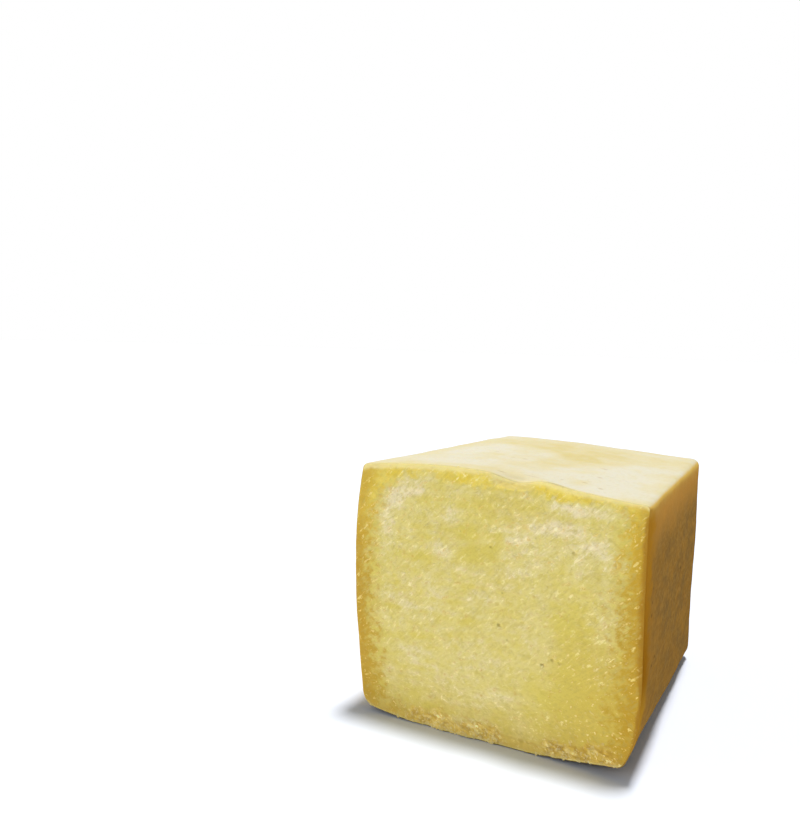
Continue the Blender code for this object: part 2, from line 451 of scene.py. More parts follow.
def cap_grid(rim, finer):
    """An end face as a grid of points blended across from its rim, with the share along and up of each."""
    grid = rim[cap_numbers(finer, 0, 0) % len(rim)]
    u = np.linspace(0.0, 1.0, grid.shape[0])[:, None, None]
    v = np.linspace(0.0, 1.0, grid.shape[1])[None, :, None]
    across = mix(grid[:1, :], grid[-1:, :], u)
    upward = mix(grid[:, :1], grid[:, -1:], v)
    corners = mix(mix(grid[0, 0], grid[-1, 0], u), mix(grid[0, -1], grid[-1, -1], u), v)
    return across + upward - corners, u, v


def grid_faces(numbers):
    a, b, c, d = numbers[:-1, :-1], numbers[1:, :-1], numbers[1:, 1:], numbers[:-1, 1:]
    return np.stack((a, b, c, d), axis=-1).reshape(-1, 4).tolist()


def band_faces(start, behind, count):
    """Faces of the band between two rings of as many points, from the first vertex number of each."""
    here = np.arange(count)
    beside = (here + 1) % count
    return np.stack((start + here, behind + here, behind + beside, start + beside), axis=-1).tolist()


def coarsening_faces(start, behind):
    """Faces from a fine ring to the coarse one behind it: each takes FINER fine edges and one coarse edge."""
    faces = []
    for k in range(RING_COUNT):
        fine = [start + (FINER * k + step) % RIM_COUNT for step in range(FINER, -1, -1)]
        faces.append(fine + [behind + k, behind + (k + 1) % RING_COUNT])
    return faces


def body_stations():
    """Distances behind the cut of the coarse rings, up to where the skin turns over the loaf's end."""
    return np.linspace(FIRST_COARSE, RIND_Y - CUT_Y - RIND_EDGE_RADIUS, BODY_STATIONS)


def loft():
    """Points and faces of the whole skin, before any relief."""
    rim_ring = inset(section_ring(0.0, FINER), KNIFE_EDGE)
    rim = on_loaf(rim_ring, cut_plane(rim_ring[:, 1]))
    fine_rings = [ring_at(distance, FINER) for distance in NEAR_CUT]
    coarse_rings = [ring_at(distance, 1) for distance in body_stations()] + end_rings()
    front, _, _ = cap_grid(rim, FINER)
    back, u, v = cap_grid(coarse_rings[-1], 1)
    # The end is slightly crowned: the product is 1 in its middle and 0 at its rim.
    back[..., 1] += RIND_CROWN * (4 * u * (1 - u) * 4 * v * (1 - v))[..., 0]
    cut_inside, end_inside = (cap[1:-1, 1:-1].reshape(-1, 3) for cap in (front, back))
    points = np.concatenate([rim, cut_inside] + fine_rings + coarse_rings + [end_inside])

    faces = grid_faces(cap_numbers(FINER, 0, RIM_COUNT))
    faces += band_faces(0, CUT_COUNT, RIM_COUNT)
    start = CUT_COUNT
    for _ in fine_rings[1:]:
        faces += band_faces(start, start + RIM_COUNT, RIM_COUNT)
        start += RIM_COUNT
    faces += coarsening_faces(start, start + RIM_COUNT)
    start += RIM_COUNT
    for _ in coarse_rings[1:]:
        faces += band_faces(start, start + RING_COUNT, RING_COUNT)
        start += RING_COUNT
    faces += [face[::-1] for face in grid_faces(cap_numbers(1, start, start + RING_COUNT))]
    return points, faces


def unrolled(point_count):
    """How far round the section, in coarse steps, and how far along the skin each point of the rings lies."""
    over_end = RIND_EDGE_RADIUS * 0.5 * math.pi * np.arange(1, EDGE_STATIONS + 1) / EDGE_STATIONS
    body = body_stations()
    turn, along = np.zeros((2, point_count))
    turn[:RIM_COUNT] = np.arange(RIM_COUNT) / FINER
    start = CUT_COUNT
    for distance in NEAR_CUT + tuple(body) + tuple(body[-1] + over_end):
        finer = FINER if distance < FIRST_COARSE else 1
        ring = slice(start, start + RING_COUNT * finer)
        turn[ring] = np.arange(RING_COUNT * finer) / finer
        along[ring] = distance
        start = ring.stop
    return turn, along / along.max()


def flat_map(points, faces):
    """The place of each face corner on the skin's flat map."""
    widths = np.array(SIDE_STEPS)
    fine_bands = np.tile(np.repeat(SIDE_PANELS, widths * FINER), len(NEAR_CUT))
    coarse_bands = np.tile(np.repeat(SIDE_PANELS, widths), BODY_STATIONS + EDGE_STATIONS)
    cut_faces = np.full(CUT_FACES, CUT_PANEL)
    end_faces = np.full(COLUMNS * ROWS, END_PANEL)
    panels = np.concatenate((cut_faces, fine_bands, coarse_bands, end_faces))
    panel = np.repeat(panels, [len(face) for face in faces])
    corner = np.concatenate(faces)

    # The cut and the end lie flat as they are.
    shares = (points - points.min(axis=0)) / np.ptp(points, axis=0)
    across, upward = shares[corner, 0], shares[corner, 2]

    # The sides are unrolled, and the last one ends where the ring begins again.
    on_side = (panel != CUT_PANEL) & (panel != END_PANEL)
    side = panel[on_side] - SIDE_PANELS[0]
    turn, along = unrolled(len(points))
    place = turn[corner[on_side]]
    place[(place == 0) & (side == len(widths) - 1)] = widths.sum()
    across[on_side] = (place - (np.cumsum(widths) - widths)[side]) / widths[side]
    upward[on_side] = along[corner[on_side]]
    left, bottom, size = np.array(MAP_PANELS)[panel].T
    return np.column_stack((left + size * across, bottom + size * upward))


def vertex_normals(points, faces):
    mesh = bpy.data.meshes.new("normals")
    mesh.from_pydata(points.tolist(), [], faces)
    normals = np.empty(len(points) * 3)
    mesh.vertices.foreach_get("normal", normals)
    bpy.data.meshes.remove(mesh)
    return normals.reshape(-1, 3)


# ---------------------------------------------------------------- zones and relief


def uneven(points, size, pattern):
    """Soft noise between about -1 and 1 at each point. The pattern number picks one of many."""
    shift = PATTERN_STEP * pattern
    return np.array([noise.noise(Vector(point) / size + shift) for point in points])


def strokes(points, angle, length, width, pattern):
    """Noise drawn out along one direction of the cut face, at an angle up from +X."""
    along = points[:, 0] * math.cos(angle) + points[:, 2] * math.sin(angle)
    across = points[:, 2] * math.cos(angle) - points[:, 0] * math.sin(angle)
    return uneven(np.column_stack((along / length, across / width, np.zeros(len(points)))), 1.0, pattern)


def patches(across, up, places):
    """The summed strength of soft-edged patches, each a middle, half sizes and strength, at each point."""
    summed = np.zeros(len(across))
    for middle, height, half_width, half_height, strength in places:
        distance = np.hypot((across - middle) / half_width, (up - height) / half_height)
        summed += strength * (1 - between(distance, PATCH_CORE, PATCH_EDGE))
    return summed


def edge_press(points):
    """How far the cut's top edge is pressed in at each point, or raised where it is less than 0."""
    from_edge = np.hypot(points[:, 2] - EDGE_Z, points[:, 1] - cut_plane(points[:, 2]))
    near_edge = smoothstep(1 - from_edge / EDGE_REACH)
    pressed = np.zeros(len(points))
    for middle, half_width, depth in EDGE_FORMS:
        across = np.clip((points[:, 0] - middle) / half_width, -1.0, 1.0)
        pressed += depth * (1 - across**2) ** 2 * near_edge
    return pressed


def with_edge_forms(points):
    return points + edge_press(points)[:, None] * np.array((0.0, 1.0, -1.0)) * math.sqrt(0.5)


def ledge(points):
    """How deep the torn ledge along the bottom of the cut lies at each point."""
    across = np.clip((points[:, 0] - LEDGE_X) / LEDGE_HALF_WIDTH, -1.0, 1.0)
    below = smoothstep((LEDGE_HEIGHT - points[:, 2]) / LEDGE_SOFTNESS)
    return LEDGE_DEPTH * (1 - across**2) * below


def width_at(z, width, *changes):
    """A zone's width at each height. Each change is two heights and how much is added between them."""
    for low, high, added in changes:
        width = width + added * between(z, low, high)
    return width


def cut_zones(points):
    """Shares from 0 to 1, by name, that say what the paste is like at each point of the cut face."""
    x, z = points[:, 0], points[:, 2]
    from_bottom, from_right, from_top, from_left = (distance_to_rim(points, side) for side in SIDES)
    patchy = uneven(points, PATCHY_SIZE, 21)
    wavy = uneven(points, WAVY_SIZE, 22)
    fine = uneven(points, FINE_SIZE, 23)
    finest = uneven(points, FINEST_SIZE, 24)
    ragged = WAVY_PUSH * wavy + FINE_PUSH * fine + FINEST_PUSH * finest

    # Oily golden paste under the top rind.
    band_x, band_depth, band_strength = np.array(GOLD_BAND).T
    depth = np.interp(x, band_x, band_depth)
    reach = from_top + 1.6 * ragged
    gold = np.interp(x, band_x, band_strength) * (1 - between(reach, depth - 0.0040, depth + 0.0035))
    gold *= 1 - 0.30 * between(finest + 0.8 * fine + 0.3 * wavy, 0.0, 0.45)

    # Darker, drier paste next to the side rinds, widest at the lower right, and darker along the bottom edge,
    # in part painted shade.
    left = unit(1 - (from_left + 1.2 * ragged) / width_at(z, *LEFT_BORDER))
    right = unit(1 - (from_right + 1.6 * ragged) / width_at(z, *RIGHT_BORDER))
    low = 1 - between(from_bottom + 1.6 * ragged, 0.0008, LOW_BORDER)
    border = np.maximum(1.18 * left, 1.22 * right)
    border = np.maximum(border, low * (0.15 + 0.52 * between(np.abs(x - 0.010), 0.015, 0.075)))
    brink = 1 - between(from_right + 0.4 * ragged, 0.0008, width_at(z, *BRINK))
    brink *= between(z, 0.012, 0.036) * (1 - between(z, 0.148, 0.154))

    # Crumbled paste in two stretches along the bottom, where the knife broke through.
    crumbly = 1 - between(from_bottom + 2.0 * ragged, 0.0050, 0.0150)
    crumbly *= between(x, -0.066, -0.044) * (1 - between(x, 0.006, 0.014) * (1 - between(x, 0.030, 0.040)))
    crumbly *= 1 - 0.7 * between(x, 0.070, 0.082)

    # The skin's own thin pale edge, thicker at the upper left and thinner at the bottom.
    thick = THICK_RIM * (1 - between(x, -0.034, 0.012))
    from_edge = np.minimum(from_top - thick, from_bottom + THICK_RIM) + 0.6 * ragged
    rim = 1 - between(from_edge, 0.0004, RIM_WIDTH)

    # Dry whitish bloom in soft patches and level streaks, and the smoother yellow paste between them.
    streaky = strokes(points, LEVEL_ANGLE, 0.024, 0.0034, 25) * (1 - 0.75 * between(x, -0.010, 0.045))
    bloom = 0.48 + 0.16 * patchy + 0.18 * wavy + 0.14 * fine + 0.26 * streaky
    bloom += patches(x + 0.004 * fine, z + 0.002 * wavy, BLOOM_PATCHES)
    bloom = unit(bloom * (1 - 0.75 * gold) * (1 - 0.6 * border))

    # The paste turns a deeper yellow towards the lower right.
    warm = between(x, 0.018, 0.078) * (1 - between(z, 0.045, 0.090)) + 0.5 * (1 - between(z, 0.004, 0.034))
    warm += 0.3 * patchy
    zones = {
        "gold": gold,
        "border": border,
        "crumbly": crumbly,
        "rim": rim,
        "bloom": bloom,
        "warm": warm,
        "brink": brink,
    }
    return {name: unit(values) for name, values in zones.items()}


def distance_to_rim(points, side):
    """How far each point of the cut lies from one side of its rim, straight across or straight up."""
    k = SIDES.index(side)
    corners = FINER * np.cumsum((0,) + SIDE_STEPS)
    chain = points[np.arange(corners[k], corners[k + 1] + 1) % RIM_COUNT]
    along, apart = (2, 0) if side in ("left", "right") else (0, 2)
    order = np.argsort(chain[:, along])
    rim_place = np.interp(points[:, along], chain[order, along], chain[order, apart])
    return np.abs(points[:, apart] - rim_place)


def stroke_shares(z):
    """How far the strokes of the grain climb, run level and fall to the right, at each height."""
    climbing = between(z, 0.020, 0.060)
    falling = 1 - between(z, 0.006, 0.024)
    return climbing, 1 - climbing - falling, falling


def paste_relief(points, zones):
    """How far each point of the cut face stands out beyond the flat cut."""
    low_waves = WAVE_DEPTH * uneven(points, WAVE_SIZE, 1)
    climbing, level, falling = stroke_shares(points[:, 2])
    grain = climbing * strokes(points, STROKE_ANGLE, GRAIN_LENGTH, GRAIN_WIDTH, 31)
    grain += level * strokes(points, LEVEL_ANGLE, 1.5 * GRAIN_LENGTH, GRAIN_WIDTH, 32)
    grain += falling * strokes(points, -STROKE_ANGLE, GRAIN_LENGTH, GRAIN_WIDTH, 33)
    tiny = uneven(points, TINY_SIZE, 34)
    rough = 0.40 + 0.75 * zones["bloom"] + 0.5 * zones["crumbly"] - 0.35 * zones["gold"]
    lumps = LUMP_DEPTH * uneven(points, LUMP_SIZE, 35)
    crumble = CRUMBLE_DEPTH * zones["crumbly"] * uneven(points, CRUMBLE_SIZE, 36)
    relief = low_waves + lumps + GRAIN_DEPTH * rough * (grain + 0.6 * tiny) + crumble - ledge(points)
    for x, z, radius, depth in PASTE_PITS:
        distance = np.hypot(points[:, 0] - x, points[:, 2] - z)
        relief -= depth * (1 - between(distance, 0.3 * radius, 1.5 * radius))
    return relief


def rind_relief(points, behind):
    """How far each point of the rind stands out: dents and a finer ripple, gone at the ground and the cut."""
    fade = smoothstep(points[:, 2] / GROUND_FADE) * smoothstep(behind / CUT_FADE)
    dents = DENT_DEPTH * uneven(points, DENT_SIZE, 0)
    ripple = RIND_RIPPLE_DEPTH * uneven(points, RIND_RIPPLE_SIZE, 41)
    return (dents + ripple) * fade


def facing_zones(normals):
    """Shares that say how far the skin at each point faces up, down, left and to the loaf's end."""
    sideways = np.maximum(np.hypot(normals[:, 0], normals[:, 2]), LEAST_SIDEWAYS)
    return {
        "up": unit(normals[:, 2] / sideways),
        "down": unit(-normals[:, 2] / sideways),
        "left": unit(-normals[:, 0] / sideways),
        "end": unit(normals[:, 1]),
    }


def chunk_shape():
    """The finished points, their faces, and the named zones of all points."""
    points, faces = loft()
    normals = vertex_normals(points, faces)
    cut = points[:CUT_COUNT]
    zones = cut_zones(cut)
    relief = paste_relief(cut, zones)
    everywhere = facing_zones(normals)
    everywhere["behind"] = points[:, 1] - cut_plane(points[:, 2])
    for name, values in zones.items():
        everywhere[name] = np.concatenate((values, np.zeros(len(points) - CUT_COUNT)))
    clouds = 0.42 + 0.45 * uneven(points, CLOUD_SIZE, 42) + 0.25 * uneven(points, CLOUDLET_SIZE, 43)
    everywhere["cloud"] = unit(clouds + patches(points[:, 0], points[:, 1], TOP_CLOUDS))
    moved = points.copy()
    skin_relief = rind_relief(points[CUT_COUNT:], everywhere["behind"][CUT_COUNT:])
    moved[CUT_COUNT:] += normals[CUT_COUNT:] * skin_relief[:, None]
    moved[:CUT_COUNT, 1] -= relief
    # The rings just behind the cut follow the relief of its rim, less and less.
    for k, distance in enumerate(NEAR_CUT):
        first = CUT_COUNT + k * RIM_COUNT
        moved[first : first + RIM_COUNT, 1] -= relief[:RIM_COUNT] * (1 - distance / FIRST_COARSE)
    moved = with_edge_forms(moved)
    moved[:, 2] = np.maximum(moved[:, 2], 0.0)
    # Painted shade goes where the pressed top edge faces up, and painted light on its hollow, which faces
    # away from the light.
    pressed = between(edge_press(points), 0.0, PRESSED)
    facing_up = unit(vertex_normals(moved, faces)[:, 2] / FACING_UP)
    everywhere["scoop"] = pressed * facing_up
    everywhere["hollow_painted_light"] = pressed * (1 - facing_up) * (1 - between(points[:, 0], *HOLLOW_END))
    # The skin's middle goes where the solid's is.
    low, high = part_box(NODE)
    middle = (moved.min(axis=0) + moved.max(axis=0)) / 2
    moved[:, 0] += (low.x + high.x) / 2 - middle[0]
    moved[:, 1] += (low.y + high.y) / 2 - middle[1]
    return moved, faces, everywhere


# ---------------------------------------------------------------- pieces


def add_piece(name, points, faces, zones, materials):
    """A smooth mesh object of the cheese, with its zones as named values on its points."""
    mesh = bpy.data.meshes.new(name)
    mesh.from_pydata(points.tolist(), [], faces)
    for material in materials:
        mesh.materials.append(material)
    for zone, values in zones.items():
        attribute = mesh.attributes.new(zone, "FLOAT", "POINT")
        attribute.data.foreach_set("value", np.ascontiguousarray(values, np.float32))
    mesh.shade_smooth()
    mesh.set_sharp_from_angle(angle=SHARP_ANGLE)
    piece = bpy.data.objects.new(name, mesh)
    bpy.context.collection.objects.link(piece)
    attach(piece, "root")
    return piece


def build_chunk(paste, rind):
    """Makes the chunk's skin and gives the points of its cut and their zones."""
    points, faces, zones = chunk_shape()
    chunk = add_piece("cheese", points, faces, zones, (rind, paste))
    slots = np.zeros(len(faces), np.int32)
    slots[:CUT_FACES] = 1
    chunk.data.polygons.foreach_set("material_index", slots)
    places = flat_map(points, faces)
    chunk.data.uv_layers.new(name=MAP_NAME).data.foreach_set("uv", places.ravel())
    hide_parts(NODE)
    return points[:CUT_COUNT], {name: values[:CUT_COUNT] for name, values in zones.items()}


# One flake lying along x: a low ridge on a long six-sided foot, in shares of its length, width and height.
FLAKE_POINTS = np.array((
    (-0.50, 0.00, 0.0),
    (-0.22, -0.50, 0.0),
    (0.25, -0.50, 0.0),
    (0.50, 0.00, 0.0),
    (0.22, 0.50, 0.0),
    (-0.25, 0.50, 0.0),
    (-0.20, 0.05, 1.0),
    (0.20, -0.05, 1.0),
))
FLAKE_FACES = ((0, 1, 6), (1, 2, 7, 6), (2, 3, 7), (3, 4, 7), (4, 5, 6, 7), (5, 0, 6), (5, 4, 3, 2, 1, 0))
FLAKE_SUNK = 0.00012


def build_flakes(paste, cut, zones):
    """Small torn flakes of paste that lie on the cut, thickest where it is dry or crumbled."""
    draw = np.random.default_rng(FLAKE_SEED)
    weight = 0.10 + zones["bloom"] ** 1.5 + 1.6 * zones["crumbly"]
    bare = np.maximum.reduce((zones["rim"], zones["brink"], 0.3 * zones["gold"], 0.5 * zones["border"]))
    bare = np.maximum.reduce((bare, zones["scoop"], zones["hollow_painted_light"]))
    from_side = np.minimum(distance_to_rim(cut, "left"), distance_to_rim(cut, "right"))
    weight *= (1 - 0.95 * bare) * between(from_side, *FLAKE_START)
    homes = draw.choice(len(cut), FLAKE_COUNT, replace=False, p=weight / weight.sum())
    climbing, level, _ = stroke_shares(cut[homes, 2])
    crumbly = zones["crumbly"][homes]
    steep = np.where(draw.random(FLAKE_COUNT) < climbing + 0.5 * level, STROKE_ANGLE, -STROKE_ANGLE)
    angle = steep * (1 - 0.6 * level) + draw.normal(0.0, FLAKE_TURN + CRUMB_TURN * crumbly)
    length = draw.uniform(*FLAKE_LENGTH, FLAKE_COUNT) * (1 - 0.25 * crumbly)
    width = draw.uniform(*FLAKE_WIDTH, FLAKE_COUNT)
    height = draw.uniform(*FLAKE_HEIGHT, FLAKE_COUNT) * (1 + 1.2 * crumbly)
    height *= 1 - 0.5 * zones["border"][homes]
    bend = draw.normal(0.0, FLAKE_BEND, FLAKE_COUNT)
    along = FLAKE_POINTS[:, 0] * length[:, None]
    across = FLAKE_POINTS[:, 1] * width[:, None] + bend[:, None] * along**2 / length[:, None]
    out = FLAKE_POINTS[:, 2] * (height[:, None] + FLAKE_SUNK) - FLAKE_SUNK
    x, y, z = cut[homes].T[..., None]
    cosine, sine = np.cos(angle)[:, None], np.sin(angle)[:, None]
    places = (
        x + along * cosine - across * sine,
        y - out,
        np.maximum(z + along * sine + across * cosine, 0.0),
    )
    points = np.stack(places, axis=-1).reshape(-1, 3)
    starts = np.arange(FLAKE_COUNT) * len(FLAKE_POINTS)
    faces = [[start + corner for corner in face] for start in starts.tolist() for face in FLAKE_FACES]
    flake_zones = {name: np.repeat(values[homes], len(FLAKE_POINTS)) for name, values in zones.items()}
    flake_zones["fleck"] = np.repeat(draw.uniform(0.25, 1.0, FLAKE_COUNT), len(FLAKE_POINTS))
    add_piece("flakes", points, faces, flake_zones, (paste,))


# ---------------------------------------------------------------- materials


class Tree:
    """A small helper that adds nodes to a material or a world and links them."""

    def __init__(self, owner):
        owner.use_nodes = True
        self.nodes = owner.node_tree.nodes
        self.links = owner.node_tree.links

    def put(self, node, inputs):
        """Sets a node's inputs, each to a value or to another node's output."""
        for name, value in inputs.items():
            if isinstance(value, bpy.types.NodeSocket):
                self.links.new(value, node.inputs[name])
            else:
                node.inputs[name].default_value = value

    def add(self, kind, inputs, output, **settings):
        """One output of a new node, which gets its settings before its inputs."""
        node = self.nodes.new("ShaderNode" + kind)
        for name, value in settings.items():
            setattr(node, name, value)
        self.put(node, inputs)
        return node.outputs[output]


class Shader(Tree):
    """One material, with the patterns, marks and layers of colour that it is made of."""

    def __init__(self, name):
        self.material = bpy.data.materials.new(name)
        super().__init__(self.material)
        self.surface = self.nodes["Principled BSDF"]
        self.place = self.add("TexCoord", {}, "Object")

    def attributes(self, *names):
        """The named values on the mesh's points."""
        return [self.add("Attribute", {}, "Fac", attribute_name=name) for name in names]

    def math(self, operation, a, b):
        return self.add("Math", {0: a, 1: b}, "Value", operation=operation)

    def rise(self, value, low, high):
        """0 up to low, 1 from high on, and a smooth rise between."""
        inputs = {"Value": value, "From Min": low, "From Max": high}
        return self.add("MapRange", inputs, "Result", interpolation_type="SMOOTHSTEP")

    def total(self, *terms):
        """The sum of value and factor pairs, and of one plain number at the end."""
        result = terms[-1]
        for value, factor in zip(terms[:-1:2], terms[1::2]):
            result = self.math("ADD", self.math("MULTIPLY", value, factor), result)
        return result

    def marks(self, places):
        """1 inside any of the given small ellipsoids, each a middle and half sizes, fading to 0 around it."""
        result = 0.0
        for middle, half_sizes in places:
            inputs = {0: self.counted(half_sizes, middle)}
            distance = self.add("VectorMath", inputs, "Value", operation="LENGTH")
            result = self.math("MAXIMUM", self.rise(distance, MARK_EDGE, MARK_CORE), result)
        return result

    def blend(self, share, a, b):
        return self.add("Mix", {"Factor": share, "A": a, "B": b}, "Result", data_type="RGBA")

    def layer(self, under, share, strength, over):
        """One colour over another, as far as the share says and at most as far as the strength."""
        return self.blend(self.math("MULTIPLY", share, strength), under, over)

    def counted(self, sizes, middle=(0.0, 0.0, 0.0), turn=0.0):
        """Coordinates from a middle, turned about the cut's normal, that count in sizes along x, y and z."""
        inputs = {"Vector": self.place, "Location": middle, "Rotation": (0.0, turn, 0.0), "Scale": sizes}
        return self.add("Mapping", inputs, "Vector", vector_type="TEXTURE")

    def noise(self, shift, sizes, detail=2.0, turn=0.0, swirl=0.0):
        """Noise from 0 to 1 whose grain has the given sizes in metres. Each shift gives another pattern."""
        inputs = {"W": shift, "Scale": 1.0, "Detail": detail, "Distortion": swirl}
        inputs["Vector"] = self.counted(sizes, turn=turn)
        return self.add("TexNoise", inputs, "Fac", noise_dimensions="4D")

    def height_share(self, low, high):
        return self.rise(self.add("SeparateXYZ", {"Vector": self.place}, "Z"), low, high)

    def bump(self, height, distance, strength):
        inputs = {"Height": height, "Distance": distance, "Strength": strength}
        self.put(self.surface, {"Normal": self.add("Bump", inputs, "Normal")})

    def waxy(self, specular, weight, radius, scale):
        """How strongly the surface shines, and how far red, green and blue light spread inside it."""
        self.put(self.surface, {"Specular IOR Level": specular, "Subsurface Weight": weight})
        self.put(self.surface, {"Subsurface Radius": radius, "Subsurface Scale": scale})

    def finish(self, colour, roughness):
        self.put(self.surface, {"Base Color": colour, "Roughness": roughness})
        return self.material


def colour(red, green, blue, light):
    """The linear colour that shows as the given 0-255 display values in the given light."""
    shares = (np.array((red, green, blue)) / 255 + DISPLAY_OFFSET) / (1 + DISPLAY_OFFSET)
    return tuple((shares**DISPLAY_POWER / np.array(light)).tolist()) + (1.0,)


def paste_colour(red, green, blue):
    return colour(red, green, blue, CUT_LIGHT)


def low_colour(red, green, blue):
    return colour(red, green, blue, LOW_LIGHT)


def paste_material():
    s = Shader("paste")
    gold, border, crumbly, bloom, warm = s.attributes("gold", "border", "crumbly", "bloom", "warm")
    rim, scoop, brink, fleck, hollow_painted_light = s.attributes("rim", "scoop", "brink", "fleck", "hollow_painted_light")

    # Short strokes that climb to the right, run level low down and fall along the bottom, and grains.
    wide = 0.0020
    climbing = s.noise(1.0, (0.0062, wide, wide), turn=-STROKE_ANGLE, swirl=0.6)
    level = s.noise(2.0, (0.0030, wide, wide), turn=-LEVEL_ANGLE, swirl=0.6)
    falling = s.noise(3.0, (0.0032, wide, wide), turn=STROKE_ANGLE, swirl=0.6)
    grain = s.blend(s.height_share(0.020, 0.060), level, climbing)
    grain = s.blend(s.height_share(0.024, 0.006), grain, falling)
    granule = s.noise(8.0, (0.0023, 0.0023, 0.0022), swirl=0.4)
    grain = s.total(grain, 0.80, granule, 0.36, -0.08)
    speckle = s.noise(5.0, (0.0042, 0.0042, 0.0034))
    mottle = s.noise(4.0, (0.0095, 0.0095, 0.0058))
    dust = s.noise(6.0, (DUST_SIZE,) * 3, 1.0)
    lively = s.rise(s.total(bloom, 0.6, border, 0.4, mottle, 1.8, -0.68), 0.25, 1.00)

    # From smooth yellow to dry and whitish, in soft steps.
    dryness = s.total(bloom, 1.00, mottle, 0.70, speckle, 0.80, grain, 0.70, -1.09)
    base = s.blend(s.rise(dryness, -0.05, 0.90), paste_colour(211, 194, 94), paste_colour(220, 206, 138))
    base = s.blend(s.rise(dryness, 0.60, 1.30), base, paste_colour(235, 220, 184))
    base = s.layer(base, warm, 0.78, paste_colour(203, 177, 72))

    # Golden under the top rind, deeper and drier beside the side rinds.
    golden = s.rise(s.total(gold, 1.0, speckle, 0.9, grain, 0.6, -0.75), 0.05, 0.95)
    gilt = s.blend(s.rise(mottle, 0.38, 0.62), paste_colour(234, 212, 100), paste_colour(222, 195, 62))
    base = s.layer(base, golden, s.total(border, -0.20, 0.86), gilt)
    darker = s.rise(s.total(border, 1.0, speckle, 2.2, grain, 2.2, -2.20), 0.05, 1.05)
    dry_edge = s.blend(s.height_share(0.090, 0.140), paste_colour(188, 152, 41), paste_colour(205, 169, 46))
    base = s.layer(base, darker, s.total(gold, -0.55, 0.93), dry_edge)
    base = s.layer(base, s.rise(border, 0.70, 1.00), 0.45, paste_colour(188, 146, 34))

    # Grain: small gaps with painted shade, and light strokes that are partly paler paste and partly painted
    # highlight.
    gap_painted_shade = s.math("SUBTRACT", 1.0, s.rise(grain, 0.37, 0.51))
    shade = s.total(lively, 0.12, warm, 0.12, 0.18)
    base = s.layer(base, gap_painted_shade, shade, paste_colour(180, 158, 82))
    lights = s.rise(s.total(grain, 1.0, dust, 0.20, -0.10), 0.57, 0.68)
    bright = s.total(lively, 0.36, border, 0.14, gold, 0.25, crumbly, 0.30, warm, 0.34, 0.46)
    bright = s.math("MINIMUM", bright, 1.0)
    stroke_colour = s.blend(border, paste_colour(244, 231, 162), paste_colour(230, 207, 118))
    base = s.layer(base, lights, bright, stroke_colour)
    dry_strokes = s.math("MULTIPLY", lights, s.rise(bloom, 0.50, 0.95))
    base = s.layer(base, dry_strokes, 0.55, paste_colour(247, 233, 200))

    # Broken crumbs along the bottom, the dark brink at the right and the pale edge of the skin.
    broken = s.rise(s.total(crumbly, 1.0, speckle, 0.8, -0.40), 0.10, 0.90)
    base = s.layer(base, broken, 0.50, low_colour(208, 174, 80))
    clods = s.noise(9.0, (0.0058, 0.0058, 0.0030), 3.0, STROKE_ANGLE / 2, 0.8)
    # Painted shade in the crevices between crumbs, and pale crumbs whose light is partly painted highlight.
    crevice_shade = s.math("MULTIPLY", broken, s.rise(clods, 0.53, 0.41))
    base = s.layer(base, crevice_shade, 0.62, low_colour(158, 118, 40))
    pale_crumbs_and_glints = s.math("MULTIPLY", broken, s.rise(s.total(lights, 0.9, clods, 2.6, -1.24), 0.10, 0.90))
    base = s.layer(base, pale_crumbs_and_glints, 0.90, low_colour(247, 232, 170))
    foot = s.height_share(0.0120, 0.0005)
    base = s.layer(base, foot, 0.55, low_colour(216, 187, 94))
    base = s.layer(base, brink, 0.85, paste_colour(160, 114, 14))
    base = s.layer(base, rim, 0.75, paste_colour(238, 223, 156))
    # Painted shade on the upward faces of the pressed top edge, and painted light on its hollow, which faces
    # away from the light.
    base = s.layer(base, scoop, 0.85, paste_colour(184, 168, 100))
    base = s.layer(base, hollow_painted_light, 0.75, paste_colour(244, 228, 158))
    on_flakes = s.total(crumbly, 0.26, border, -0.10, bloom, 0.26, 0.16)
    base = s.layer(base, fleck, on_flakes, paste_colour(243, 230, 176))
    spots = []
    for x, z, radius, _ in PASTE_PITS:
        half_width = PASTE_PIT_WIDTH * radius
        spots.append(((x, PASTE_PIT_Y, z), (half_width, PASTE_PIT_REACH, half_width)))
    base = s.layer(base, s.marks(spots), 0.65, paste_colour(166, 148, 70))

    s.bump(s.total(grain, 1.0, speckle, 0.5, dust, 0.3, 0.0), 0.0009, 0.60)
    s.waxy(0.20, 0.12, (0.9, 0.6, 0.2), 0.004)
    return s.finish(base, s.total(dryness, 0.15, 0.48))


def rind_colour(red, green, blue):
    return colour(red, green, blue, RIND_LIGHT)


def top_colour(red, green, blue):
    return colour(red, green, blue, TOP_LIGHT)


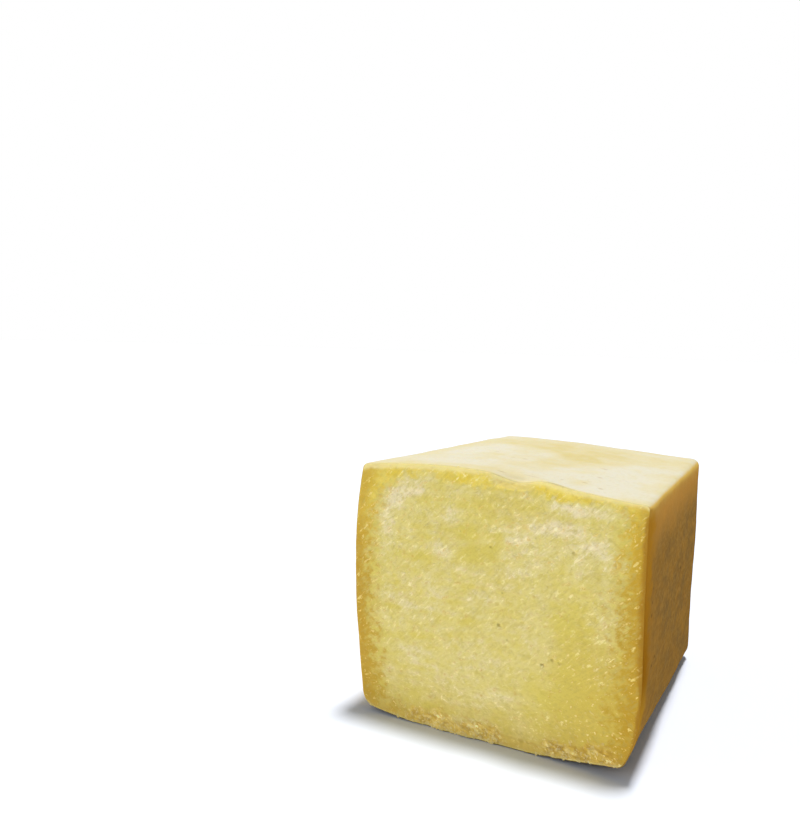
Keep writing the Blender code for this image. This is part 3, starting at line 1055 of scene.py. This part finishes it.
def rind_material():
    s = Shader("rind")
    up, down, left, end, behind, cloud = s.attributes("up", "down", "left", "end", "behind", "cloud")
    broad = s.noise(11.0, (0.045, 0.060, 0.045))
    cloudy = s.noise(12.0, (0.014, 0.024, 0.013))
    mottle = s.noise(14.0, (0.0062, 0.0120, 0.0058))
    fine = s.noise(13.0, (0.0024, 0.0042, 0.0024))
    dust = s.noise(15.0, (DUST_SIZE,) * 3, 1.0)

    # Golden brown on the sides, mottled, lighter under the top edge and darker at the ground, where the
    # darkening is painted shade.
    brown = s.blend(s.rise(cloudy, 0.36, 0.64), rind_colour(144, 104, 46), rind_colour(127, 96, 50))
    brown = s.layer(brown, s.rise(broad, 0.44, 0.62), 0.6, rind_colour(138, 99, 44))
    brown = s.layer(brown, s.rise(mottle, 0.44, 0.66), 0.40, rind_colour(120, 91, 48))
    brown = s.layer(brown, s.rise(mottle, 0.50, 0.30), 0.45, rind_colour(156, 110, 46))
    brown = s.layer(brown, s.rise(fine, 0.48, 0.66), 0.35, rind_colour(158, 120, 64))
    brown = s.layer(brown, s.rise(fine, 0.48, 0.32), 0.30, rind_colour(108, 79, 38))
    brown = s.layer(brown, s.height_share(0.118, 0.152), 0.80, rind_colour(186, 132, 60))

    # Paler on the left side, warmer again at the loaf's end.
    pale = s.blend(s.rise(cloudy, 0.36, 0.64), rind_colour(200, 170, 94), rind_colour(188, 154, 80))
    pale = s.layer(pale, s.rise(fine, 0.46, 0.66), 0.35, rind_colour(208, 180, 108))
    golden_end = s.blend(s.rise(cloudy, 0.36, 0.64), rind_colour(176, 134, 68), rind_colour(158, 122, 64))
    golden_end = s.layer(golden_end, s.rise(mottle, 0.46, 0.66), 0.40, rind_colour(150, 110, 54))
    on_left = s.rise(left, 0.2, 0.8)
    sides = s.layer(brown, on_left, 0.80, pale)
    sides = s.blend(s.rise(end, 0.1, 0.9), sides, golden_end)

    # Oily and orange-gold close behind the cut, darker below.
    ragged = s.total(behind, 1.0, mottle, 0.024, -0.012)
    warmed = s.blend(on_left, rind_colour(154, 108, 42), rind_colour(196, 160, 76))
    sides = s.layer(sides, s.rise(ragged, 0.050, 0.010), 0.45, warmed)
    oily = s.rise(ragged, 0.020, 0.002)
    oiled = s.blend(s.height_share(0.050, 0.130), rind_colour(138, 88, 8), rind_colour(164, 112, 28))
    oiled = s.blend(s.height_share(0.066, 0.034), oiled, rind_colour(174, 126, 36))
    oiled = s.blend(on_left, oiled, rind_colour(186, 150, 62))
    sides = s.layer(sides, oily, 0.90, oiled)
    below = s.blend(on_left, rind_colour(150, 116, 56), rind_colour(190, 158, 84))
    sides = s.blend(s.rise(down, 0.1, 0.7), sides, below)
    # Painted shade: the rind darkens where it meets the floor.
    ground_shade_strength = s.total(on_left, -0.5, 0.8)
    sides = s.layer(sides, s.height_share(0.010, 0.001), ground_shade_strength, rind_colour(90, 70, 34))

    # Cream on top, from whitish to tan in clouds, passing over a gold edge to the sides. The cream is partly
    # the top's own paler colour and partly painted sheen.
    tone = s.total(cloud, 0.9, mottle, 0.50, cloudy, 0.40, -0.40)
    cream_and_sheen = s.blend(s.rise(tone, -0.05, 0.60), top_colour(239, 233, 208), top_colour(237, 225, 180))
    cream_and_sheen = s.blend(s.rise(tone, 0.45, 1.15), cream_and_sheen, top_colour(231, 213, 146))
    cream_and_sheen = s.layer(cream_and_sheen, s.rise(fine, 0.50, 0.66), 0.26, top_colour(228, 215, 170))
    # Painted light: a paler strip on the chamfer at the knife edge, which the light leaves in shade.
    near_edge = s.rise(behind, 0.0014, 0.0003)
    cream_and_sheen = s.blend(near_edge, cream_and_sheen, top_colour(246, 231, 168))
    turned = s.total(up, 1.0, s.height_share(0.140, 0.159), 0.40, mottle, 0.30, -0.15)
    edge = s.blend(s.rise(turned, 0.05, 0.75), sides, colour(212, 172, 84, EDGE_LIGHT))
    base = s.blend(s.rise(turned, 0.72, 1.28), edge, cream_and_sheen)

    dents = s.marks([((x, y, z), (wide, long, DENT_REACH)) for x, y, z, wide, long in TOP_DENTS])
    pits = s.marks([((SIDE_PIT_X, y, z), (DENT_REACH, long, high)) for y, z, long, high in SIDE_PITS])
    base = s.layer(base, dents, 0.60, top_colour(196, 168, 128))
    base = s.layer(base, pits, 0.75, rind_colour(84, 66, 34))
    height = s.total(fine, 0.25, dust, 0.15, mottle, 0.30, dents, -0.8, pits, -1.0, 0.0)
    s.bump(height, 0.0006, 0.5)
    s.waxy(0.0, 0.08, (0.9, 0.5, 0.2), 0.003)
    return s.finish(base, s.total(cloudy, 0.2, 0.50))


# ---------------------------------------------------------------- stage, light and camera

CAMERA_PLACE = (0.17370, -0.54048, 0.23612)
CAMERA_YAW = math.radians(28.70)
CAMERA_PITCH = math.radians(4.71)
CAMERA_ROLL = math.radians(1.64)
NEAREST_SEEN = 0.01
PHOTO_HEIGHT = 825
FOCAL_PIXELS = 800
SENSOR = 36.0

FLOOR_SIZE = 60.0

# Slightly cool, so that the shadows stay grey beside the yellow cheese.
FLOOR_COLOUR = (0.775, 0.812, 0.900, 1.0)
FLOOR_ROUGHNESS = 0.9
WORLD_TINT = (0.86, 0.94, 1.0, 1.0)
WORLD_STRENGTH = 0.28

# Each sun's strength, how wide it looks, and its azimuth and height, in degrees.
SUNS = (("key", 3.3, 9, 219, 85), ("fill", 1.23, 30, 52, 10))


def add_floor():
    mesh = bpy.data.meshes.new("floor")
    half = FLOOR_SIZE / 2
    corners = [(-half, -half, 0), (half, -half, 0), (half, half, 0), (-half, half, 0)]
    mesh.from_pydata(corners, [], [(0, 1, 2, 3)])
    floor = bpy.data.objects.new("floor", mesh)
    bpy.context.collection.objects.link(floor)
    shader = Shader("floor")
    mesh.materials.append(shader.finish(FLOOR_COLOUR, FLOOR_ROUGHNESS))
    shader.put(shader.surface, {"Specular IOR Level": 0.0})


def add_sun(name, strength, angle, azimuth, elevation):
    """A soft sun. The azimuth turns from straight in front of the cut towards its left."""
    light = bpy.data.lights.new(name, "SUN")
    light.energy = strength
    light.angle = math.radians(angle)
    sun = bpy.data.objects.new(name, light)
    bpy.context.collection.objects.link(sun)
    turn, rise = math.radians(azimuth), math.radians(elevation)
    towards = Vector((-math.sin(turn) * math.cos(rise), -math.cos(turn) * math.cos(rise), math.sin(rise)))
    sun.rotation_euler = towards.to_track_quat("Z", "Y").to_euler()


def add_world():
    """Even light from all round that shows as plain white to the camera."""
    world = bpy.data.worlds.new("studio")
    tree = Tree(world)
    seen = tree.add("LightPath", {}, "Is Camera Ray")
    tints = {"Factor": seen, "A": WORLD_TINT, "B": (1.0, 1.0, 1.0, 1.0)}
    tint = tree.add("Mix", tints, "Result", data_type="RGBA")
    strength = tree.add("Mix", {"Factor": seen, "A": WORLD_STRENGTH, "B": 1.0}, "Result")
    tree.put(tree.nodes["Background"], {"Color": tint, "Strength": strength})
    bpy.context.scene.world = world


def add_camera():
    camera = bpy.data.objects.new("camera", bpy.data.cameras.new("camera"))
    camera.data.sensor_width = SENSOR
    camera.data.lens = FOCAL_PIXELS * SENSOR / PHOTO_HEIGHT
    camera.data.clip_start = NEAREST_SEEN
    turned = Matrix.Rotation(CAMERA_YAW, 4, "Z") @ Matrix.Rotation(math.pi / 2 - CAMERA_PITCH, 4, "X")
    camera.matrix_world = Matrix.Translation(CAMERA_PLACE) @ turned @ Matrix.Rotation(CAMERA_ROLL, 4, "Z")
    bpy.context.collection.objects.link(camera)
    bpy.context.scene.camera = camera


add_floor()
add_world()
for sun in SUNS:
    add_sun(*sun)
add_camera()
bpy.context.scene.view_settings.view_transform = "Standard"
paste = paste_material()
cut_points, cut_point_zones = build_chunk(paste, rind_material())
build_flakes(paste, cut_points, cut_point_zones)
